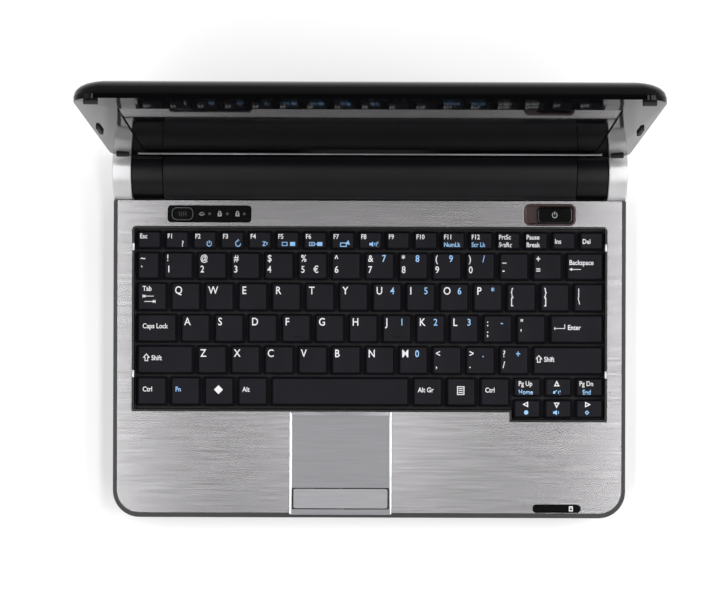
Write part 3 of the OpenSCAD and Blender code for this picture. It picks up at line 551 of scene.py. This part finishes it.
def shape(corners, x, y, width_mm, depth_mm, ink, turn=0, line_mm=0):
    """A flat polygon centred on x, y, filled, or drawn as an outline line_mm wide."""
    bpy.ops.object.select_all(action="DESELECT")
    bpy.ops.mesh.primitive_circle_add(vertices=corners, radius=MM, fill_type="NGON")
    mark = bpy.context.object
    mark.rotation_euler.z = math.radians(turn)
    apply_place(mark)
    mark.scale = (width_mm * MM / mark.dimensions.x, depth_mm * MM / mark.dimensions.y, 1)
    mark.location = (x, y, deck_z + 3 * MM)
    apply_place(mark)
    if line_mm:
        bpy.ops.object.mode_set(mode="EDIT")
        bpy.ops.mesh.select_all(action="SELECT")
        bpy.ops.mesh.inset(thickness=line_mm * MM)
        bpy.ops.mesh.delete(type="FACE")
        bpy.ops.object.mode_set(mode="OBJECT")
    give(mark, ink)
    return mark


def box_mark(x, y, width_mm, depth_mm, ink, line_mm=0):
    return shape(4, x, y, width_mm, depth_mm, ink, turn=45, line_mm=line_mm)


def press_onto(marks, name, target, body, lift_mm=0.03):
    """Joins marks into one piece, lays it on target from above and rides it on body."""
    select_only(*marks)
    if len(marks) > 1:
        bpy.ops.object.join()
    piece = bpy.context.object
    piece.name = name
    wrap = piece.modifiers.new("wrap", "SHRINKWRAP")
    wrap.target = target
    wrap.wrap_method = "PROJECT"
    wrap.use_project_z = True
    wrap.use_negative_direction = True
    wrap.use_positive_direction = False
    wrap.project_limit = 9 * MM
    wrap.offset = lift_mm * MM
    bpy.ops.object.modifier_apply(modifier="wrap")
    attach(piece, body)
    return piece


# %% [markdown]
# ### The legends of each row
# The main signs are white and stand at the upper left of each key. The second functions are
# blue. Lists keep them in the order of the keys, and loops make the letters that share one
# place. Each entry is key number, text, distance right and down from the cell's rear left
# corner, and height, in millimetres.

# %% The legends of each row
WHITE, BLUE = legend_white, legend_blue
small, word, digit, letter = 3.4, 3.5, 4.9, 5.5
legends = {name: [] for name in key_rows}

legends["function_keys"] = [(0, "Esc", 2.2, 3.3, small, WHITE)]
legends["function_keys"] += [(i, f"F{i}", 2.2, 3.3, small, WHITE) for i in range(1, 13)]
legends["function_keys"] += [
    (1, "?", 9.3, 7.1, 4.2, WHITE), (2, "⏻", 8.0, 7.1, 3.6, BLUE),
    (3, "↻", 8.2, 7.1, 4.4, BLUE),
    (4, "Z", 8.3, 7.0, 3.2, BLUE), (4, "z", 10.2, 6.6, 2.2, BLUE),
    (11, "NumLk", 2.2, 7.2, 3.2, BLUE), (12, "Scr Lk", 2.2, 7.2, 3.2, BLUE),
    (13, "PrtSc", 2.0, 3.3, small, WHITE), (13, "SysRq", 2.0, 7.2, small, WHITE),
    (14, "Pause", 2.0, 3.3, small, WHITE), (14, "Break", 2.0, 7.2, small, WHITE),
    (15, "Ins", 2.4, 5.4, small, WHITE), (16, "Del", 2.4, 5.4, small, WHITE)]

for i, (upper, lower) in enumerate(zip("~!@#$%^&*()_+", "`1234567890-=")):
    legends["digit_keys"].append((i, upper, 2.6, 3.75, 4.4 if upper == "@" else digit, WHITE))
    legends["digit_keys"].append((i, lower, 2.6, 9.4, digit, WHITE))
for i, sign in zip((7, 8, 9, 10), "789/"):
    legends["digit_keys"].append((i, sign, 9.6, 3.75, digit, BLUE))
legends["digit_keys"] += [(5, "€", 8.9, 9.4, digit, WHITE),
                          (13, "Backspace", 2.5, 5.5, word, WHITE)]

for i, sign in enumerate("QWERTYUIOP", start=1):
    legends["upper_letter_keys"].append((i, sign, 3.0, 4.6, letter, WHITE))
for i, sign in zip((7, 8, 9, 10), "456*"):
    legends["upper_letter_keys"].append((i, sign, 10.2, 4.6, digit, BLUE))
for i, (upper, lower) in zip((11, 12, 13), ("{[", "}]", "|\\")):
    legends["upper_letter_keys"] += [(i, upper, 3.1, 4.9, digit, WHITE),
                                     (i, lower, 3.1, 9.5, digit, WHITE)]
legends["upper_letter_keys"].append((0, "Tab", 3.7, 3.8, word, WHITE))

legends["home_letter_keys"] = [(0, "Caps Lock", 3.7, 6.8, word, WHITE)]
for i, sign in enumerate("ASDFGHJKL", start=1):
    legends["home_letter_keys"].append((i, sign, 2.8, 4.5, letter, WHITE))
for i, sign in zip((7, 8, 9, 10), "123-"):
    legends["home_letter_keys"].append((i, sign, 10.0, 4.5, digit, BLUE))
for i, (upper, lower) in zip((10, 11), (":;", "\"'")):
    legends["home_letter_keys"] += [(i, upper, 3.0, 4.7, digit, WHITE),
                                    (i, lower, 3.0, 9.8, digit, WHITE)]
legends["enter_key"] = [(0, "Enter", 10.0, 7.0, word, WHITE)]

legends["left_shift_key"] = [(0, "⇧", 3.6, 7.0, 4.8, WHITE),
                             (0, "Shift", 8.2, 7.0, word, WHITE)]
legends["right_shift_key"] = [(0, "⇧", 2.0, 7.2, 4.8, WHITE),
                              (0, "Shift", 6.7, 7.2, word, WHITE)]
for i, sign in enumerate("ZXCVBNM"):
    legends["lower_letter_keys"].append((i, sign, 2.6, 4.5, letter, WHITE))
for i, (upper, lower) in zip((7, 8, 9), ("<,", ">.", "?/")):
    legends["lower_letter_keys"] += [(i, upper, 2.8, 4.4, digit, WHITE),
                                     (i, lower, 2.8, 10.0, digit, WHITE)]
for i, sign in zip((6, 8, 9), "0.+"):
    legends["lower_letter_keys"].append((i, sign, 9.4, 4.5, digit, BLUE))

legends["left_modifier_keys"] = [(0, "Ctrl", 3.8, 6.9, word, WHITE),
                                 (1, "Fn", 3.4, 6.9, word, BLUE),
                                 (3, "Alt", 3.4, 6.9, word, WHITE)]
legends["right_modifier_keys"] = [(0, "Alt Gr", 3.6, 6.9, word, WHITE),
                                  (2, "Ctrl", 3.6, 6.9, word, WHITE)]
legends["arrow_keys"] = [
    (0, "Pg Up", 3.5, 3.5, small, WHITE), (0, "Home", 3.5, 7.8, small, BLUE),
    (2, "Pg Dn", 2.8, 3.5, small, WHITE), (2, "End", 4.4, 7.8, small, BLUE)]


# %% [markdown]
# ### Signs built from flat shapes
# Arrows, loudspeakers and screens aren't in the font, so each is put together from
# triangles and boxes. Each sign is placed by its middle, and returns a list of marks.

# %% Signs built from flat shapes
def arrow(x, y, length, head, ink, turn=180):
    """A line with a solid head at its left, or at its right with turn 0."""
    way = math.cos(math.radians(turn))
    return [box_mark(x, y, length, 0.32, ink),
            shape(3, x + way * length / 2 * MM, y, head, head, ink, turn=-90 * way)]


def loudspeaker(x, y, waves, ink):
    cone = shape(3, x - 0.5 * MM, y, 1.9, 2.6, ink, turn=90)
    return [box_mark(x - 1.3 * MM, y, 0.9, 1.3, ink), cone] + [
        box_mark(x + (0.9 + 0.8 * i) * MM, y, 0.35, 1.3 + 0.8 * i, ink) for i in range(waves)]


def sheet_of_lines(x, y, ink):
    return [box_mark(x, y, 3.7, 4.4, ink, line_mm=0.45)] + [
        box_mark(x, y + step * MM, 2.2, 0.4, ink) for step in (-1.0, 0, 1.0)]


def tab_arrows(x, y, ink):
    marks = []
    for down, turn in ((0, 180), (2.7, 0)):
        way = math.cos(math.radians(turn))
        marks += arrow(x, y - down * MM, 4.8, 1.5, ink, turn)
        marks.append(box_mark(x + way * 3.1 * MM, y - down * MM, 0.32, 1.7, ink))
    return marks


def return_arrow(x, y, ink):
    return arrow(x, y, 5.6, 1.6, ink) + [box_mark(x + 2.65 * MM, y + 1.0 * MM, 0.32, 2.2, ink)]


def two_screens(x, y, ink, joined):
    marks = [box_mark(x - 2.0 * MM, y, 2.8, 2.0, ink, line_mm=0.35),
             box_mark(x + 2.0 * MM, y, 2.6, 2.0, ink)]
    return marks + ([box_mark(x, y, 1.6, 0.35, ink), shape(6, x - 2.0 * MM, y, 0.8, 0.8, ink)]
                    if joined else [])


def pad_and_pen(x, y, ink):
    return [box_mark(x - 0.8 * MM, y - 0.3 * MM, 3.4, 2.2, ink, line_mm=0.45),
            shape(3, x + 1.4 * MM, y + 0.6 * MM, 2.4, 2.4, ink, turn=105)]


def pointer(x, y, turn, ink):
    """A hollow triangle: 0 points to the rear, 90 to the left, 180 to the front."""
    return [shape(3, x, y, 2.9, 2.9, ink, turn=turn, line_mm=0.5)]


# Key number, right and down from the cell's corner, and the maker of the sign.
signs = {
    "function_keys": [(5, 7.6, 7.1, lambda x, y: two_screens(x, y, BLUE, False)),
                      (6, 7.4, 7.1, lambda x, y: two_screens(x, y, BLUE, True)),
                      (7, 8.2, 7.1, lambda x, y: pad_and_pen(x, y, BLUE)),
                      (8, 8.3, 7.1, lambda x, y: loudspeaker(x, y, 3, BLUE))],
    "digit_keys": [(13, 6.0, 9.0, lambda x, y: arrow(x, y, 5.0, 1.6, WHITE))],
    "upper_letter_keys": [(0, 7.0, 7.7, lambda x, y: tab_arrows(x, y, WHITE))],
    "enter_key": [(0, 5.9, 7.5, lambda x, y: return_arrow(x, y, WHITE))],
    "left_modifier_keys": [(2, 8.3, 7.1, lambda x, y: [shape(4, x, y, 4.6, 4.6, WHITE)])],
    "right_modifier_keys": [(1, 8.3, 7.2, lambda x, y: sheet_of_lines(x, y, WHITE))],
    "arrow_keys": [(1, 7.2, 3.9, lambda x, y: pointer(x, y, 0, WHITE)),
                   (1, 7.2, 8.0, lambda x, y: loudspeaker(x, y, 2, BLUE)),
                   (0, 7.5, 14.1, lambda x, y: pointer(x, y, 90, WHITE)),
                   (0, 7.5, 18.2, lambda x, y: [shape(8, x, y, 2.3, 2.3, BLUE)]),
                   (1, 7.2, 14.1, lambda x, y: pointer(x, y, 180, WHITE)),
                   (1, 7.2, 18.2, lambda x, y: loudspeaker(x, y, 1, BLUE)),
                   (2, 6.8, 14.1, lambda x, y: pointer(x, y, 270, WHITE)),
                   (2, 6.8, 18.2, lambda x, y: [shape(4, x, y, 2.3, 2.3, BLUE, line_mm=0.4)])],
}

for row, entries in legends.items():
    marks = []
    for index, text, right, down, size, ink in entries:
        x, y = key_corner(row, index)
        marks.append(print_text(text, x + right * MM, y - down * MM, size, ink))
    for index, right, down, make in signs.get(row, []):
        x, y = key_corner(row, index)
        marks += make(x + right * MM, y - down * MM)
    press_onto(marks, row + "_legends", caps[row], row)
print("legends:", sum(len(entries) for entries in legends.values()))

# %% [markdown]
# ### Home bars
# A raised rib on two keys tells the index fingers where they are. It is a thin rod with
# rounded ends, sunk halfway into the key.

# %% Home bars on F and J
for index, name in ((4, "home_bar_f"), (7, "home_bar_j")):
    x, y = key_corner("home_letter_keys", index)
    bpy.ops.object.select_all(action="DESELECT")
    bpy.ops.mesh.primitive_cylinder_add(
        vertices=16, radius=0.28 * MM, depth=3.4 * MM, rotation=(0, math.pi / 2, 0),
        location=(x + 8.6 * MM, y - 12.2 * MM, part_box("home_letter_keys")[1].z - 0.32 * MM))
    rib = bpy.context.object
    rib.name = name
    apply_place(rib)
    round_over(rib, 0.2)
    smooth(rib)
    give(rib, key_plastic)
    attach(rib, "home_letter_keys")

# %% [markdown]
# ## Signs on the status strip, the power switch and the card label
# These are printed like the legends: a radiating dot by the wireless slider, two padlocks
# for the lock lights, a power sign on the slider and a plain sign on the label.

# %% Status signs
strip_low, strip_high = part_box("status_panel")
strip_y = (strip_low.y + strip_high.y) / 2


def padlock(x, y, ink):
    return [box_mark(x, y - 0.4 * MM, 2.0, 1.7, ink, line_mm=0.6),
            shape(12, x, y + 0.8 * MM, 1.5, 1.5, ink, line_mm=0.35)]


marks = [shape(12, strip_low.x + 17.3 * MM, strip_y, 2.4, 1.8, legend_grey),
         shape(3, strip_low.x + 17.3 * MM, strip_y, 3.4, 1.2, legend_grey)]
for from_left in (26.4, 35.4):
    marks += padlock(strip_low.x + from_left * MM, strip_y, legend_grey)
press_onto(marks, "status_signs", shell["status_panel"], "base", 0.02)

knob_low, knob_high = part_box("power_slider")
mark = print_text("⏻", (knob_low.x + knob_high.x) / 2 - 1.7 * MM,
                  (knob_low.y + knob_high.y) / 2, 3.9, legend_grey)
press_onto([mark], "power_sign", shell["power_slider"], "power_slider", 0.02)

# A plain little card, for the card slot below
label_y = (label_low.y + label_high.y) / 2
marks = [box_mark(label_high.x - 4.9 * MM, label_y, 2.0, 2.6, legend_white, line_mm=0.5),
         box_mark(label_high.x - 4.9 * MM, label_y + 0.4 * MM, 1.4, 0.4, legend_white)]
press_onto(marks, "card_sign", shell["card_label"], "base", 0.02)


# %% [markdown]
# ## Polished edges beside the touchpad
# The deck's sheet turns down to the touch surface at its sides, in a narrow polished slope
# that catches the light as a white line. A box of the slope's width is stretched along the
# zone, and its inner upper edge is moved down, so that the top leans towards the pad.

# %% Polished edges beside the touchpad
pad_low, pad_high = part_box("touchpad")
pad_top = pad_high.z
slope_w, slope_drop = 1.2 * MM, 0.3 * MM
rail_front = pad_low.y + 0.5 * MM
rail_rear = pad_high.y + 0.8 * MM
rail_top = deck_z + 0.12 * MM
for side, name in ((1, "pad_edge_left"), (-1, "pad_edge_right")):
    outer = pad_low.x if side > 0 else pad_high.x
    rail = block(name, (outer + side * slope_w / 2, (rail_front + rail_rear) / 2,
                        (pad_top + rail_top) / 2),
                 (slope_w, rail_rear - rail_front, rail_top - pad_top))
    for corner in rail.data.vertices:
        inner = (corner.co.x - outer) * side > slope_w / 2
        if inner and corner.co.z > pad_top + slope_drop / 2:
            corner.co.z -= slope_drop
    round_over(rail, 0.12)
    smooth(rail)
    give(rail, edge_metal)
    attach(rail, "base")


# %% [markdown]
# ## Rings and bars that close the gaps
# A black ring, painted shade, fills the gap round the button, a raised rim runs round the
# wireless slider, and black seals run down the screen's sides. Each ring starts as a flat
# plate whose corners are bevelled. It is inset, its middle is deleted, and the band that is
# left is pulled up to its thickness.


# %% A flat ring with rounded corners
def flat_ring(name, low, high, radius_mm, line_mm, top, thick_mm, material, body, side_mm=0):
    """A ring inside the box from low to high, whose upper face is at top. side_mm makes the
    two bands at its left and right wider."""
    bpy.ops.object.select_all(action="DESELECT")
    bpy.ops.mesh.primitive_plane_add(size=1, location=(
        (low.x + high.x) / 2, (low.y + high.y) / 2, top - thick_mm * MM))
    ring = bpy.context.object
    ring.name = name
    ring.scale = (high.x - low.x, high.y - low.y, 1)
    apply_place(ring)
    bpy.ops.object.mode_set(mode="EDIT")
    bpy.ops.mesh.select_all(action="SELECT")
    bpy.ops.mesh.bevel(offset=radius_mm * MM, segments=6, affect="VERTICES")
    bpy.ops.mesh.select_all(action="SELECT")
    bpy.ops.mesh.inset(thickness=line_mm * MM)
    if side_mm:
        inner = high.x - low.x - 2 * line_mm * MM
        bpy.ops.transform.resize(value=(1 - 2 * side_mm * MM / inner, 1, 1),
                                 center_override=((low.x + high.x) / 2, 0, 0))
    bpy.ops.mesh.delete(type="FACE")
    bpy.ops.mesh.select_all(action="SELECT")
    bpy.ops.mesh.extrude_region_move(
        TRANSFORM_OT_translate={"value": (0, 0, thick_mm * MM)})
    bpy.ops.mesh.select_all(action="SELECT")
    bpy.ops.mesh.normals_make_consistent(inside=False)
    bpy.ops.object.mode_set(mode="OBJECT")
    round_over(ring, min(line_mm, thick_mm) * 0.2, segments=2)
    smooth(ring)
    give(ring, material)
    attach(ring, body)
    return ring


# %% Painted shade in the gap round the button
# The visible button is drawn in at its two ends, so that the gap shows beside the slopes.
button_low, button_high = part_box("touchpad_button")
button_gap, button_inset = 0.5 * MM, 0.75 * MM
middle = (button_low.x + button_high.x) / 2
narrower = 1 - 2 * button_inset / (button_high.x - button_low.x)
for corner in shell["touchpad_button"].data.vertices:
    corner.co.x = middle + (corner.co.x - middle) * narrower
grow = Vector((button_gap, button_gap, 0))
# A black ring just below the touch surface fills the gap: painted shade, where the real gap is
# only shadow.
flat_ring("button_gap_shade_ring", button_low - grow, button_high + grow, 1.2, 0.47,
          pad_top - 0.05 * MM, 0.3, rubber, "base", side_mm=button_inset / MM)

# %% Raised rim of the wireless slider
slider_low, slider_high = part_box("wireless_slider")
flat_ring("wireless_rim", slider_low, slider_high, 2.6, 0.4, slider_high.z + 0.25 * MM, 0.4,
          case_grey, "wireless_slider")

# %% [markdown]
# ### Rear border of the touch surface
# The touch surface's finish runs on over the deck's narrow strip, up to the keyboard. A thin
# plate in the same finish does that without changing the deck.

# %% Rear border of the touch surface
border_depth, border_thick = 2.0 * MM, 0.16 * MM
border = block("pad_rear_border",
               ((pad_low.x + pad_high.x) / 2, rail_rear - border_depth / 2, deck_z),
               (pad_high.x - pad_low.x - 2 * slope_w, border_depth, border_thick))
round_over(border, 0.05, segments=2)
smooth(border)
give(border, pad_metal)
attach(border, "base")

# %% [markdown]
# ### Seals along the screen's edges
# A black seal closes the gap at the screen's left and right, and a pale grey bar along its
# foot is a painted highlight, for the light caught by the bezel lip's edge. Each is a thin
# bar that leans with the lid. The screen's own corners give the lean: its front face runs
# from its lowest front corner to its highest one.

# %% Seals along the screen's edges
glass = [v.co for v in nodes["display_panel"].data.vertices]
foot = min(glass, key=lambda c: (round(c.y, 5), c.z)).copy()
glass_top = max(c.z for c in glass)
head = min((c for c in glass if c.z > glass_top - 1 * MM), key=lambda c: c.y).copy()
half_glass = max(c.x for c in glass)
lean = math.atan2(head.y - foot.y, head.z - foot.z)
length = math.hypot(head.y - foot.y, head.z - foot.z)
seal_thick = 0.5 * MM
# A pale grey standing in for the light on the bezel lip's edge: painted highlight.
painted_highlight_grey = moulded("painted_highlight_grey_lip", "#8e8e90", "#9c9c9e", 0.3, metal=0.3, depth=0.003)
for name, x, wide, high, material in (
        ("screen_seal_left", -half_glass, 1.3 * MM, length, rubber),
        ("screen_seal_right", half_glass, 1.3 * MM, length, rubber),
        ("screen_foot_line", 0, 2 * half_glass, 0.4 * MM, painted_highlight_grey)):
    middle = (foot + head) / 2
    if high < length:    # the painted highlight bar lies on the bezel's lip, in front of the glass
        middle = foot + Vector((0, -0.9, 0.15)) * MM
    seal = block(name, (x, middle.y, middle.z), (wide, seal_thick, high), (-lean, 0, 0))
    round_over(seal, 0.1, segments=2)
    smooth(seal)
    give(seal, material)
    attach(seal, body_of("display_panel"))
print("screen leans back", round(math.degrees(lean), 1), "degrees")


# %% [markdown]
# ### Grip ribs on the wireless slider
# Low ribs across the slider's middle give a fingertip hold. One rib is modelled and repeated
# at an even pitch, and the row is joined into one piece.

# %% Grip ribs on the wireless slider
def rib_row(name, target_box, body, material, count, pitch, length):
    """Parallel ribs across a knob, joined into one piece."""
    low, high = target_box
    middle = (low + high) / 2
    ribs = []
    for i in range(count):
        rib = block(name, (middle.x + (i - (count - 1) / 2) * pitch * MM, middle.y, high.z),
                    (0.45 * MM, length * MM, 0.4 * MM))
        round_over(rib, 0.15)
        ribs.append(rib)
    select_only(*ribs)
    bpy.ops.object.join()
    grip = bpy.context.object
    grip.name = name
    smooth(grip)
    give(grip, material)
    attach(grip, body)
    return grip


rib_row("wireless_grip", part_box("wireless_slider"), "wireless_slider", trim_black, 4, 1.1, 2.6)
